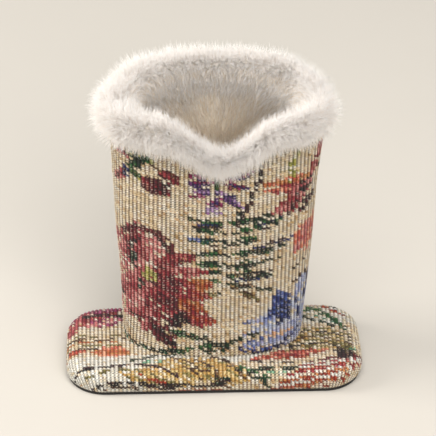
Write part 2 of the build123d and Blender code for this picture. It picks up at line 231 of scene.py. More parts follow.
class Cloth:
    """A woven cloth as a grid of stitches: where each lies, and the colours of its rib, valley and gap;
    valley and gap colours are partly real dark threads and partly darkened copies of thread colours,
    painted shade.
    """

    def __init__(self, ribs, rows, rib, row, seed, shade):
        self.random = np.random.default_rng(seed)
        # shade: how dark the painted shade in the valleys is, as a share of the thread colour.
        self.shade = shade
        self.rib = rib
        across = (np.arange(ribs) - (ribs - 1) / 2) * rib
        self.x, self.y = np.meshgrid(across, (np.arange(rows) + 0.5) * row)
        self.ragged = self.random.uniform(-1, 1, self.x.shape)
        self.face = self.pick(CREAM)
        self.dye(self.face, True, 0.06, TAN)
        self.valley = self.pick(TAN)
        self.dye(self.valley, True, 0.86, SPECKS)
        # The ground's gaps between rows: tan darkened, painted shade; a share of real dark specks goes
        # over it.
        self.gap = self.pick(TAN) * 0.6
        self.dye(self.gap, True, 0.25, SPECKS)

    def pick(self, threads):
        """A thread colour for every stitch, at random from a short list."""
        return np.array(threads)[self.random.integers(0, len(threads), self.x.shape)]

    def dye(self, part, inside, share, threads, light=1.0):
        """Gives a share of a region's stitches new colours, on their face or in their valley or gap; a
        light below 1 darkens them, painted shade.
        """
        chosen = inside & (self.random.random(self.x.shape) < share)
        part[chosen] = (self.pick(threads) * light)[chosen]

    def paint(self, inside, threads, cover=1.0):
        """Weaves a colour into a region; a cover below 1 lets some of the ground show on the face. The
        region's valleys and row gaps get darkened copies of the colour, painted shade.
        """
        self.dye(self.face, inside, cover * 0.95, threads)
        # Painted shade: darker copies of the thread colour in the valleys between ribs and in the gaps
        # between rows.
        self.dye(self.valley, inside, 0.8, threads, self.shade * 0.8)
        self.dye(self.gap, inside, 0.7, threads, 0.4)
        light = inside & (self.random.random(self.x.shape) < 0.3)
        self.gap[light] = (0.5 * self.pick(threads) + 0.5 * self.pick(CREAM))[light]

    def local(self, x, y, turn):
        """Stitch places seen from a point, turned by an angle in degrees."""
        cos, sin = ahead(0, 0, 1, turn)
        dx, dy = self.x - x, self.y - y
        return dx * cos + dy * sin, dy * cos - dx * sin

    def patch(self, x, y, width, height, threads, turn=0, cover=1.0, rough=0.16):
        """A ragged oval patch."""
        u, v = self.local(x, y, turn)
        reach = np.hypot(u / (width / 2), v / (height / 2)) + rough * self.ragged
        self.paint(reach < 1, threads, cover)

    def leaf(self, x, y, length, width, turn, threads, vein=None, cover=1.0):
        """A pointed leaf or petal that runs out from a point."""
        u, v = self.local(x, y, turn)
        along = u / length
        half = width / 2 * np.sin(math.pi * np.clip(along, 0, 1)) ** 0.8
        inside = (along > 0) & (along < 1) & (np.abs(v) < half + 0.25 * self.rib * self.ragged)
        self.paint(inside, threads, cover)
        if vein:
            self.paint(inside & (np.abs(v) < 0.16 * width), vein, 0.8)

    def stroke(self, places, width, threads, cover=0.85):
        """A line through a few places."""
        near = np.full(self.x.shape, 1e9)
        for (ax, ay), (bx, by) in zip(places[:-1], places[1:]):
            length = (bx - ax) ** 2 + (by - ay) ** 2
            along = np.clip(((self.x - ax) * (bx - ax) + (self.y - ay) * (by - ay)) / length, 0, 1)
            apart = np.hypot(self.x - ax - along * (bx - ax), self.y - ay - along * (by - ay))
            near = np.minimum(near, apart)
        self.paint(near < width / 2 + 0.2 * self.rib * self.ragged, threads, cover)

    def rose(self, x, y, size, turn=0):
        """A full blown flower: dark outer petals, lit inner ones, green heart."""
        for step in range(9):
            angle = turn + step * 40
            root = ahead(x, y, 0.1 * size, angle)
            threads = (RED, WINE, ROSE)[step % 3]
            long = size * (0.5 + 0.07 * (step % 3))
            self.leaf(*root, long, size * 0.42, angle, threads, SHADE if step % 2 else None)
        for step in range(7):
            angle = turn + 20 + step * 51
            self.leaf(x, y, size * 0.36, size * 0.24, angle, (ROSE, RED, PINK)[step % 3], None, 0.8)
        self.patch(x, y, size * 0.2, size * 0.16, LIME)
        self.patch(x - 0.06 * size, y + 0.02 * size, size * 0.09, size * 0.14, PINE)

    def bluebell(self, x, y, size, turn=0):
        """A cool flower: navy upper petals, pale lower ones and a peach throat."""
        for step, angle in enumerate((60, 95, 130)):
            self.leaf(x, y, size * 0.6, size * 0.34, turn + angle, NAVY if step % 2 == 0 else BLUE, SHADE)
        for step, angle in enumerate((175, 215, 255, 300, 350)):
            vein = BLUE if step % 2 else None
            self.leaf(x, y, size * 0.62, size * 0.36, turn + angle, HAZE, vein, 0.9)
        self.leaf(x - 0.2 * size, y - 0.1 * size, size * 0.46, size * 0.13, turn - 6, PEACH)

    def bud(self, x, y, size, turn, threads=WINE):
        """A closed bud with a dark tip and two small leaves at its foot."""
        self.leaf(x, y, size, size * 0.5, turn, threads, RED)
        self.leaf(*ahead(x, y, 0.55 * size, turn), size * 0.5, size * 0.4, turn, SHADE)
        self.leaf(x, y, size * 0.5, size * 0.22, turn + 60, GREEN)
        self.leaf(x, y, size * 0.45, size * 0.2, turn - 70, PINE)


# ---- what the cloths show

RIB = 1.8
ROW = 1.15
BASE_RIB = 1.66
BASE_RIBS = 88
BASE_ROWS = 64
WIDEST = round_length(SLEEVE_HIGH[2])[-1] * 2
SLEEVE_RIBS = int(round(WIDEST / RIB))
SLEEVE_ROWS = int(math.ceil((SLEEVE_HIGH[2] - FOOT_Z) / ROW))


def fern(cloth, x, y):
    """Thin dark green bars, one above another, either side of an upright stalk."""
    leaf, patch, stroke = cloth.leaf, cloth.patch, cloth.stroke
    stroke([(x - 1.5, y + 6), (x - 2, y - 8), (x - 1, y - 18), (x - 4, y - 27)], 1.4, PINE, 0.6)
    fronds = ((8.5, 17, 9, 4, 26, 12), (4.5, 15, 7, 6, 24, 10), (0, 18, 2, 7, 15, 2))
    fronds += ((-6.5, 12, -1, 5, 27, 5), (-11.5, 11, -3, 8, 16, -2), (-15.5, 18, -2, 6, 20, -7))
    fronds += ((-20.5, 10, 3, 4, 22, -14),)
    for rise, left, left_turn, wide, right, right_turn in fronds:
        leaf(x - 2, y + rise, left, 2.7, 180 - left_turn, PINE, None, 0.8)
        leaf(x - 2, y + rise - 1.4, right, 2.9, right_turn, PINE, None, 0.8)
        patch(x + wide, y + rise + 0.6, 8, 2.6, GREEN, right_turn, 0.75)
        patch(x - wide - 3, y + rise, 7, 2.6, GREEN, -left_turn, 0.75)
    bars = ((9, -12, 12), (-2.5, -9, 10), (-9, 4, 16), (-13.5, -14, 12), (-18, 4, 14))
    for rise, start, length in bars:
        left, low = x + start, y + rise
        stroke([(left, low), (left + length, low + 1)], 1, (GREEN, SHADE)[length % 4 > 0], 0.55)
    bars = ((8.5, -14, 11, -1), (6.5, -16, 13, 0.5), (3, 3, 13, 2), (-5, -12, 10, 0), (-7.5, 8, 12, 1))
    bars += ((-11, -13, 9, 1), (-12.5, 10, 12, 1.5), (-16.5, -16, 12, 0.5), (-20, 3, 14, -1))
    for rise, start, length, tilt in bars:
        left, low = x + start, y + rise
        threads = (PINE, SHADE, NAVY)[length % 3]
        stroke([(left, low), (left + length, low + tilt)], 1.1, threads, 0.7)
    leaf(x + 9, y + 6, 16, 2.6, 14, GREEN, NAVY, 0.7)
    leaf(x + 10, y - 5, 18, 3.2, 8, SHADE, NAVY, 0.75)
    leaf(x - 18, y + 0.5, 12, 3.4, 2, BLUE, PINE, 0.7)
    leaf(x - 1, y - 25, 14, 2.4, 12, BROWN, None, 0.7)
    leaf(x + 2, y - 24, 16, 2.6, -34, BROWN, OLIVE, 0.75)
    leaf(x - 3, y - 28, 9, 2.4, 170, OLIVE, None, 0.7)


def spray(cloth, x, y):
    """A violet sprig: petals either side of a short green stalk, and one hanging below."""
    leaf, patch, stroke = cloth.leaf, cloth.patch, cloth.stroke
    stroke([(x - 10, y + 7), (x - 5, y + 6.6)], 1.8, PLUM, 1)
    leaf(x - 1, y + 3.4, 11.5, 3.6, 180, PURPLE, PLUM)
    leaf(x - 1.5, y - 0.8, 8.5, 3.8, 180, PURPLE, LILAC)
    stroke([(x - 10, y - 3.2), (x - 6, y - 3)], 1.6, PLUM, 1)
    patch(x + 0.2, y + 3, 2.8, 5.5, GREEN)
    leaf(x + 2, y + 4, 15, 4.4, 18, PURPLE, PLUM, 0.9)
    leaf(x + 2, y + 3.5, 12, 4.2, -18, PLUM, PURPLE, 0.9)
    leaf(x, y, 14, 4.4, -38, PURPLE, LILAC, 0.9)
    leaf(x + 0.8, y - 1.5, 9.5, 6.8, -108, PLUM, PURPLE, 0.9)
    patch(x - 1.5, y - 10.5, 7, 4.5, LILAC, 0, 0.6)


def sleeve_cloth():
    """The sleeve's stitches: a garden in front, and the same kinds of flowers elsewhere behind."""
    cloth = Cloth(SLEEVE_RIBS, SLEEVE_ROWS, RIB, ROW, 11, 0.12)
    leaf, patch, stroke = cloth.leaf, cloth.patch, cloth.stroke
    half = WIDEST / 2

    # ferns and the stalk of the right-hand flower
    fern(cloth, 6, 58)
    stalk = [(18, 95), (17.5, 86), (14.5, 80), (13.5, 75), (11, 71), (8.5, 66)]
    for ends in zip(stalk[:-1], stalk[1:]):
        stroke(ends, 2, SHADE, 0.8)
    stroke([(10, 74), (8, 67)], 1.6, PINE, 0.8)

    # two buds and their leaves, upper left
    leaf(-33, 87, 16, 8, -27, WINE, RED)
    leaf(-26, 85.5, 9, 5, -34, SHADE, WINE, 0.7)
    leaf(-24, 91, 10.5, 6.5, -30, WINE, RED)
    stroke([(-29, 95), (-25, 92), (-22, 89.5)], 1.2, BROWN, 0.8)
    leaf(-46, 98.5, 11, 4.6, -12, ROSE, WINE)
    leaf(-46, 82, 10, 5, 38, ROSE, WINE)
    patch(-39, 87.5, 4.5, 6, NAVY, 20, 0.8)
    leaf(-39, 98, 14, 4.8, -12, GREEN, LIME, 0.9)
    leaf(-27, 96.5, 14, 5, 206, PINE, GREEN)
    leaf(-37, 91, 8, 3.2, -48, GREEN, LIME, 0.9)

    spray(cloth, 0, 83)

    # coral flower, upper right
    leaf(18, 84, 24, 5.2, 0, CORAL, ORANGE, 0.9)
    leaf(19, 81.5, 24, 4.6, -6, RED, CORAL)
    leaf(23, 69, 19, 7, 24, RED, ROSE)
    leaf(29, 77, 12, 5, 8, ROSE, RED, 0.8)
    leaf(30, 67, 12, 6.5, 62, RED, SHADE)
    leaf(33, 79, 10, 6.5, 10, SHADE, ROSE, 0.8)
    leaf(35, 66, 12, 4, 44, SHADE, WINE)
    leaf(34, 46, 17, 9.5, 66, CORAL, ROSE, 0.85)
    leaf(40, 44, 20, 9, 74, ROSE, CORAL, 0.85)
    leaf(31, 83, 18, 4.6, 78, LIME, None, 0.6)
    leaf(40, 82, 15, 6, 62, RED, PINK, 0.9)
    leaf(45, 90, 12, 5.5, 70, ROSE, RED)
    leaf(45, 84, 10, 4, 20, PINE, GREEN)
    stroke([(33, 38), (41, 42)], 1, SHADE, 0.8)
    stroke([(34, 31.5), (40, 34)], 1.5, BROWN, 0.8)
    stroke([(41, 34), (48, 27), (52, 20)], 1.2, BROWN, 0.8)

    # full blown rose, lower left: outer petals, then inner ones, then the heart
    patch(-32, 40, 30, 44, ROSE, 10, 0.55, 0.2)
    patch(-21, 29, 32, 28, RED, 0, 0.6, 0.2)
    leaf(-28, 45, 18, 11, 118, ROSE, RED, 0.75)
    leaf(-27, 46, 14, 8, 76, ROSE, PINK, 0.6)
    leaf(-38, 46, 17, 9, 78, RED, WINE, 0.8)
    stroke([(-40, 58), (-34, 61), (-28, 61.5), (-22, 59), (-19, 54), (-18, 49)], 3.4, WINE)
    stroke([(-24, 57.5), (-20, 54), (-18.5, 50)], 1.6, SHADE, 0.9)
    leaf(-30, 44, 22, 10, 150, RED, ROSE, 0.7)
    patch(-37, 47, 6, 10, SHADE, 10, 0.6)
    leaf(-26, 42, 21, 10, 26, RED, WINE, 0.85)
    leaf(-20, 42, 17, 6, 2, ROSE, RED, 0.8)
    stroke([(-26, 46), (-19, 49), (-10, 51.5)], 1.8, RED)
    patch(-22, 30, 32, 25, RED, 0, 0.88)
    leaf(-28, 32, 22, 12, 200, ROSE, RED, 0.62)
    leaf(-30, 27, 18, 9, 232, ROSE, PINK, 0.7)
    leaf(-26, 24, 16, 9, 252, RED, ROSE, 0.8)
    patch(-30, 38, 13, 12, ROSE, 20, 0.6)
    patch(-21, 36, 16, 9, WINE, -8, 0.7)
    patch(-22, 25, 17, 11, WINE, 12, 0.6)
    leaf(-12, 37, 12, 6.5, -8, ORANGE, RUST, 0.85)
    leaf(-12, 33, 11, 4, -20, RUST, RED, 0.8)
    leaf(-15, 29, 17, 9.5, -46, ORANGE, RUST, 0.9)
    leaf(-15, 21, 17, 8, -16, RED, RUST, 0.92)
    leaf(-27, 16, 17, 9, -46, WINE, SHADE, 0.85)
    leaf(-20, 14, 12, 7, 34, SHADE, WINE, 0.8)
    patch(-15, 17, 9, 5, SHADE, 10, 0.7)
    patch(-28, 38.5, 7, 7.5, LIME, -24, 0.75)
    patch(-35, 45, 4.5, 8.5, PINE, 8, 0.7)
    patch(-32, 33, 4, 6, PINE, -12, 0.75)
    stroke([(-36, 52), (-33, 56), (-29, 57)], 1.4, SHADE, 0.6)
    stroke([(-38, 16), (-33, 15), (-28, 17), (-24, 14)], 1.8, WINE, 0.7)
    stroke([(-50, 17), (-47, 22), (-42, 23.5)], 1.5, SHADE, 0.9)
    leaf(-52, 14, 12, 8.5, 34, PINK, ROSE)
    leaf(-58, 44, 16, 10, 250, RED, WINE, 0.85)

    # cool flower, lower right
    patch(34, 13, 28, 24, PALE, 20, 0.75, 0.2)
    leaf(31, 12, 18, 9, 102, NAVY, BLUE, 0.85)
    leaf(33, 17, 14, 8.5, 124, BLUE, NAVY, 0.85)
    leaf(34, 20, 13, 4.5, 186, NAVY, BLUE, 0.8)
    leaf(30, 16.5, 18, 3, 182, HAZE, BLUE, 0.8)
    leaf(36, 24, 10, 6.5, 62, PALE, HAZE, 0.9)
    patch(30, 16, 9, 10, NAVY, 0, 0.75)
    leaf(26, 14, 16, 5, 200, HAZE, PALE, 0.6)
    leaf(10, 4, 30, 7.5, 4, BLUE, HAZE, 0.6)
    leaf(20, 9, 26, 7, 6, PALE, HAZE, 0.75)
    leaf(24, 2, 24, 6, 10, HAZE, PALE, 0.8)
    leaf(38, 8, 16, 9, 58, PALE, HAZE, 0.8)
    leaf(42, 18, 16, 5, 78, NAVY, BLUE, 0.8)
    leaf(20, 7, 16, 2.4, 4, PEACH)
    stroke([(10, 3.5), (15, 1), (24, 0.5), (31, 3), (38, 6)], 1.6, NAVY)
    stroke([(36, 22), (38, 14), (37, 9)], 1.4, NAVY, 0.7)

    # leaves along the foot
    leaf(-19, 12, 17, 3.4, -14, GREEN, PINE, 0.9)
    stroke([(-5, 9), (0, 6), (6, 6.5), (14, 9), (18, 9.5)], 2.2, PINE)
    patch(0.5, 4.5, 10, 5.5, PINE, 10, 0.75)
    stroke([(-17, 1.5), (-8, 4), (-2, 6)], 2, GREEN, 0.8)
    stroke([(-50, 9), (-43, 3), (-34, 1), (-24, 0.6), (-16, 2)], 2, PINE, 0.9)
    stroke([(-44, 2), (-32, 0), (-20, 0)], 1.2, MINT, 0.6)

    # the back, to either side of the seam
    for side in (-1, 1):
        cloth.bud(side * (half - 22), 88 + 4 * side, 13, 90 + side * 40, (RED, PLUM)[side > 0])
        leaf(side * (half - 30), 70, 20, 6, 90 - side * 36, GREEN, PINE)
        leaf(side * (half - 14), 62, 18, 6, 90 + side * 20, PINE, GREEN)
        stalk = [(side * (half - inward), up) for inward, up in ((16, 8), (20, 40), (12, 74))]
        stroke(stalk, 2, BROWN)
        leaf(side * (half - 18), 4, 18, 5, 90 - side * 50, MINT, GREEN)
    cloth.rose(half - 26, 44, 34, 40)
    cloth.bluebell(26 - half, 40, 30, 160)
    leaf(8 - half, 16, 16, 8, 20, CORAL, RUST)
    leaf(half - 40, 14, 20, 8, 8, ORANGE, RUST)
    return cloth


def base_cloth():
    """The base's stitches: flames, leaves and fine dark lines; y is 0 along its middle."""
    cloth = Cloth(BASE_RIBS, BASE_ROWS, BASE_RIB, ROW, 23, 0.4)
    cloth.y -= BASE_ROWS * ROW / 2
    leaf, patch, stroke = cloth.leaf, cloth.patch, cloth.stroke

    # left end: crimson petals behind, olive and dark lines, an orange patch
    leaf(-68, 14, 34, 14, 16, RED, PLUM, 0.75)
    leaf(-66, 26, 36, 11, -2, PLUM, PINK, 0.8)
    leaf(-62, 2, 20, 8, 62, RED, ROSE, 0.75)
    leaf(-54, 9, 20, 8, 20, PLUM, PINK, 0.75)
    stroke([(-54, 16), (-46, 17.5), (-36, 16)], 1.8, SHADE, 0.9)
    stroke([(-56, 29), (-48, 30.5), (-38, 30)], 1.5, SHADE)
    for step, threads in enumerate((OLIVE, BROWN, ORANGE, OLIVE, SHADE, ORANGE)):
        height = 2.6 - 2.2 * step
        places = [(-64, height - 2.4), (-55, height), (-46, height - 0.5), (-38, height + 0.5)]
        stroke(places, 1.15, threads)
    leaf(-50, -8.5, 15, 9, -2, CORAL, ORANGE, 0.75)
    leaf(-62, -8, 10, 4, -6, RUST, CORAL, 0.7)

    # front edge: thin dark lines that wave across pale ribs, an ochre patch with brown zigzags
    cloth.paint((np.abs(cloth.y + 14.5) < 3.2) & (cloth.x < 20), PEARL, 0.85)
    cloth.paint((cloth.y < -17) & (cloth.x < -30), PEARL, 0.75)
    patch(-6, -20, 34, 12, OCHRE, -10, 0.8)
    patch(-22, -25, 34, 7, OCHRE, -6, 0.7)
    patch(5, -24, 18, 10, OCHRE, -16, 0.75)
    stroke([(-36, -15.5), (-27, -13), (-18, -12)], 1.4, PINE)
    stroke([(-29, -16.5), (-21, -16)], 1.8, MINT, 0.6)
    stroke([(-64, -23), (-58, -20.5), (-49, -19.2), (-40, -18.2), (-31, -17.8), (-23, -20), (-16, -24)],
           1.4, SHADE, 0.9)
    stroke([(-54, -24), (-47, -22.2), (-39, -20.6), (-30, -22), (-23, -25), (-15, -28.5)],
           1.2, OLIVE, 0.9)
    stroke([(-56, -31), (-51, -29.5), (-44, -27.6), (-33, -27.2), (-27, -28.6), (-18, -30.5)],
           1.6, SHADE, 0.9)
    stroke([(-48, -30.5), (-40, -29.6), (-32, -30)], 1.4, BROWN, 0.75)
    stroke([(-38, -24), (-32, -25), (-24, -27.6)], 1.2, OLIVE, 0.9)
    stroke([(-31, -23.6), (-26, -25.4), (-18, -28.6)], 1.6, RUST)
    for start, low in ((-17, -13.5), (-9, -15.5), (-1, -13.5), (-15, -19.5), (-6, -21.5), (3, -19)):
        zigzag = [(start, low), (start + 5, low - 2), (start + 8, low - 5), (start + 11, low - 9)]
        stroke(zigzag, 1.2, BROWN)
        stroke([(start + 2, low - 3), (start + 6, low - 5.5)], 1.2, OLIVE)
    stroke([(-24, -29), (-14, -28.6), (-4, -29.4), (4, -28.8)], 1.7, SHADE)
    stroke([(-16, -31.5), (-6, -31.2), (3, -31.8)], 1.2, RUST, 0.7)
    leaf(-2, -28, 9, 4, 10, PINE, SHADE, 0.85)

    # right end: a rust leaf, green strokes, orange flames, olive lines and a curved green strip
    leaf(14, -16, 36, 6, 11, RUST, CORAL, 0.85)
    leaf(22, -11.5, 20, 3.8, 2, RED, CORAL, 0.8)
    stroke([(14, -16.5), (23, -18), (33, -17.4)], 1.6, SHADE, 0.9)
    stroke([(8, -21.3), (18, -22), (27, -21.4), (36, -22)], 1.5, PINE, 0.9)
    stroke([(11, -20.4), (17, -23.5), (22, -26)], 2, GREEN)
    stroke([(15, -24.6), (19, -26.6), (22, -30)], 2.4, PINE)
    stroke([(22, -23.6), (34, -24.4)], 1.5, MINT, 0.8)
    patch(42, -27, 32, 9, RUST, 10, 0.5)
    patch(50, -19, 22, 7, RED, 10, 0.4)
    flames = (ORANGE, RUST, PEARL, RUST, ORANGE, PEARL)
    flames += (RED, RUST, PEARL, RED, PEARL, WINE)
    for step, threads in enumerate(flames):
        start, low = 22 + 1.6 * step, -33 + 1.4 * step
        stroke([(start, low), (start + 12, low + 2.2), (start + 28, low + 6.4)], 1.3, threads, 0.9)
    patch(44, -2, 22, 14, OCHRE, 0, 0.35)
    for step, threads in enumerate((OLIVE, SHADE, OLIVE, BROWN, OLIVE, SHADE, OLIVE)):
        height = 5.0 - 2.1 * step
        places = [(31, height - 2), (40, height + 0.8), (48, height), (57, height - 5)]
        stroke(places, 1.15, threads)
    cloth.paint((np.abs(cloth.y - 15) < 6) & (cloth.x > 36), PEARL, 0.6)
    stroke([(36, 17.5), (42, 19.5), (47.5, 16), (52.5, 10.5), (56, 4)], 2.8, GREEN, 0.9)
    stroke([(37, 14.5), (42, 12), (47, 10), (51, 6)], 1.7, PINE)
    stroke([(40, 16.2), (46, 13.4), (50, 10)], 1.2, MINT, 0.8)
    stroke([(42, 23), (49, 20), (55, 14.5)], 1.7, RUST)
    stroke([(36, 26), (45, 24.5), (52, 21)], 1.8, PINE)
    leaf(38, 29, 26, 5, -14, LIME, OLIVE, 0.8)
    leaf(44, 32, 20, 5, -20, RUST, CORAL, 0.8)
    patch(54.5, -12.5, 8.5, 7.5, SHADE, -30, 0.95)
    patch(54, -7, 8, 4.5, OLIVE, -30, 0.85)
    patch(58, -9.5, 4, 3.5, MINT, 0, 0.8)

    # back edge
    for step in range(7):
        place = -48 + 16 * step
        leaf(place, 30, 15, 5, 20 - 40 * (step % 2), (GREEN, RUST, BLUE, OLIVE)[step % 4], SHADE, 0.8)
    return cloth


# ---- materials


def set_sockets(node, values):
    """Sets a node's sockets; an underscore in a name stands for a space."""
    for socket, value in values.items():
        node.inputs[socket.replace("_", " ")].default_value = value


def add_node(tree, kind, **values):
    """A new node with some of its sockets set."""
    node = tree.nodes.new(kind)
    set_sockets(node, values)
    return node


def shader(name, colour, roughness, **values):
    """A material and its shader, with the shader's own sockets set."""
    material = bpy.data.materials.new(name)
    material.use_nodes = True
    surface = material.node_tree.nodes["Principled BSDF"]
    surface.inputs["Base Color"].default_value = (*colour, 1)
    surface.inputs["Roughness"].default_value = roughness
    set_sockets(surface, values)
    return material, material.node_tree, surface


def noise_node(tree, scale, detail=3.0, stretch=None):
    """Noise in object space, scaled per metre, stretched along an axis if asked."""
    source = add_node(tree, "ShaderNodeTexCoord").outputs["Object"]
    texture = add_node(tree, "ShaderNodeTexNoise", Scale=scale, Detail=detail)
    if stretch:
        mapping = add_node(tree, "ShaderNodeMapping", Scale=stretch)
        tree.links.new(source, mapping.inputs["Vector"])
        source = mapping.outputs["Vector"]
    tree.links.new(source, texture.inputs["Vector"])
    return texture.outputs["Fac"]


def spread(tree, value, low, high):
    """Maps a 0-1 value to a range."""
    node = add_node(tree, "ShaderNodeMapRange", To_Min=low, To_Max=high)
    tree.links.new(value, node.inputs["Value"])
    return node.outputs["Result"]


def bump(tree, surface, height, strength, distance):
    """A bump on the shader's normal; distance is in metres."""
    node = add_node(tree, "ShaderNodeBump", Strength=strength, Distance=distance)
    tree.links.new(height, node.inputs["Height"])
    tree.links.new(node.outputs["Normal"], surface.inputs["Normal"])


def tinted(tree, surface, source, value, low, high):
    """Makes the base colour from a colour times a value that runs from low to high."""
    mix = tree.nodes.new("ShaderNodeMix")
    mix.data_type = "RGBA"
    mix.blend_type = "MULTIPLY"
    mix.inputs["Factor"].default_value = 1.0
    if isinstance(source, tuple):
        mix.inputs["A"].default_value = (*source, 1)
    else:
        tree.links.new(source, mix.inputs["A"])
    tree.links.new(spread(tree, value, low, high), mix.inputs["B"])
    tree.links.new(mix.outputs["Result"], surface.inputs["Base Color"])


def cloth_material():
    """Woven cloth: the stitches' colours, painted shade in the valleys and row gaps included, broken up by
    fibres, with a dry soft surface.
    """
    sheen = {"Sheen_Weight": 0.12, "Specular_IOR_Level": 0.3}
    material, tree, surface = shader("tapestry_cloth", (0.6, 0.5, 0.4), 0.8, **sheen)
    stitch = tree.nodes.new("ShaderNodeAttribute")
    stitch.attribute_name = "stitch"
    fibre = noise_node(tree, 4200, 2.0)
    tinted(tree, surface, stitch.outputs["Color"], fibre, 0.46, 1.0)
    tree.links.new(spread(tree, noise_node(tree, 900), 0.68, 0.92), surface.inputs["Roughness"])
    bump(tree, surface, fibre, 0.5, 0.00012)
    return material


def plain_material(name, colour, roughness, scale, contrast, height, stretch=None, **values):
    """A solid material with fine variation in its colour, gloss and surface."""
    material, tree, surface = shader(name, colour, roughness, **values)
    grain = noise_node(tree, scale, 4.0, stretch)
    tinted(tree, surface, tuple(colour), grain, 1 - contrast, 1 + contrast)
    gloss = spread(tree, grain, roughness - 0.08, min(roughness + 0.08, 1))
    tree.links.new(gloss, surface.inputs["Roughness"])
    bump(tree, surface, grain, 0.4, height)
    return material


CLOTH = cloth_material()
THREAD_MATERIAL = plain_material("sewing_thread", linear(206, 184, 146), 0.7, 5200, 0.25, 0.00006)
FOAM_MATERIAL = plain_material("foam", linear(236, 228, 196), 0.95, 2600, 0.14, 0.0002)
FUR_COLOUR = linear(246, 236, 218)
FUR_BACKING = plain_material("fur_backing", FUR_COLOUR, 0.95, 1500, 0.12, 0.0003, Sheen_Weight=0.3)
FUR_SOCKETS = {
    "Sheen_Weight": 0.4,
    "Specular_IOR_Level": 0.2,
    "Subsurface_Weight": 0.5,
    "Subsurface_Radius": (1.0, 0.9, 0.8),
    "Subsurface_Scale": 0.0015,
}


def fur_materials(kind, depth):
    """Root, middle and tip of a strand in three tints, so that the pile isn't one flat white; roots darker
    than tips are painted shade deep in the pile, and depth darkens and warms all of them, painted shade.
    """
    made = []
    for tint, warm in (("white", 4), ("ivory", 9), ("cream", 16)):
        # Roots darker and warmer than tips: painted shade deep in the pile.
        for part, light, shade in (("root", 238, 16), ("middle", 250, 6), ("tip", 255, 0)):
            loss = warm + shade + depth
            colour = linear(light - depth * 0.2, light - loss * 0.5, light - loss)
            made.append(shader(f"{kind}_{part}_{tint}", colour, 0.6, **FUR_SOCKETS)[0])
    return made


# The second set is the same fur darker and warmer: painted shade for strands inside the mouth and under
# the cuff's roll.
FUR = fur_materials("fur", 0) + fur_materials("painted_shade_fur", 44)


# ---- tapestry meshes

PER_RIB = 6
PER_ROW = 3
RIB_HEIGHT = 0.42
BEAD_HEIGHT = 0.2
STITCH_SLANT = 0.2
VALLEY_FROM = 0.3
VALLEY_BLEND = 0.36


def weave(cloth, across, up):
    """Relief in millimetres and colour of woven cloth at places counted in ribs across and rows up; the
    colour darkens in the valleys and between rows, painted shade.
    """
    rows, ribs = cloth.face.shape[:2]
    in_rib = across - np.floor(across)
    slanted = up + STITCH_SLANT * (in_rib - 0.5)
    in_row = slanted - np.floor(slanted)
    rib = np.clip(np.floor(across).astype(int), 0, ribs - 1)
    row = np.clip(np.floor(slanted).astype(int), 0, rows - 1)
    crown = 1 - np.abs(2 * in_rib - 1) ** 2.3
    bead = 0.5 - 0.5 * np.cos(2 * math.pi * in_row)
    height = RIB_HEIGHT * crown**0.8 + BEAD_HEIGHT * crown * bead
    # Towards the valleys the colour blends to the valley colour: real specks mixed with darkened copies,
    # painted shade.
    deep = np.clip((np.abs(2 * in_rib - 1) - VALLEY_FROM) / VALLEY_BLEND, 0, 1)[..., None]
    face = cloth.face[row, rib]
    # Painted shade: between beads the darker gap colour shows, and in the valley the face colour falls to
    # 0.7.
    seen = np.clip(1.9 * bead - 0.25, 0, 1)[..., None]
    shown = face * seen + cloth.gap[row, rib] * (1 - seen)
    speck = np.clip(1.5 * bead - 0.1, 0, 1)[..., None]
    valley = cloth.valley[row, rib] * speck + 0.7 * face * (1 - speck)
    return height, shown * (1 - deep) + valley * deep


def settle(piece, slot, *materials):
    """Gives a piece its materials and fixes it to the body; slot is not used."""
    for material in materials:
        piece.data.materials.append(material)
    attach(piece, "root")


def woven(name, grid, lift, colours, faces):
    """A tapestry mesh: a grid raised along its normals, with its stitches' colours."""
    points = grid + surface_normals(grid, False) * lift[..., None]
    used, faces = tidy(grid.reshape(-1, 3), faces)
    panel = new_mesh(name, points.reshape(-1, 3)[used], faces)
    colours = np.column_stack([colours.reshape(-1, 3)[used], np.ones(len(used))])
    layer = panel.data.attributes.new("stitch", "FLOAT_COLOR", "POINT")
    layer.data.foreach_set("color", colours.astype(np.float32).ravel())
    settle(panel, "tapestry", CLOTH)
    return panel


# Within STEADY of the middle of the front the ribs run straight up; the rest fans out to the back seam.
STEADY = 45.0
SEAM_DIP = 0.7
SEAM_WIDTH = 1.1
HEM_ROUND = 1.1
HEM_FLARE = 2.0
HEM_FADE = 9.0
HEM_UNDER = 5.0


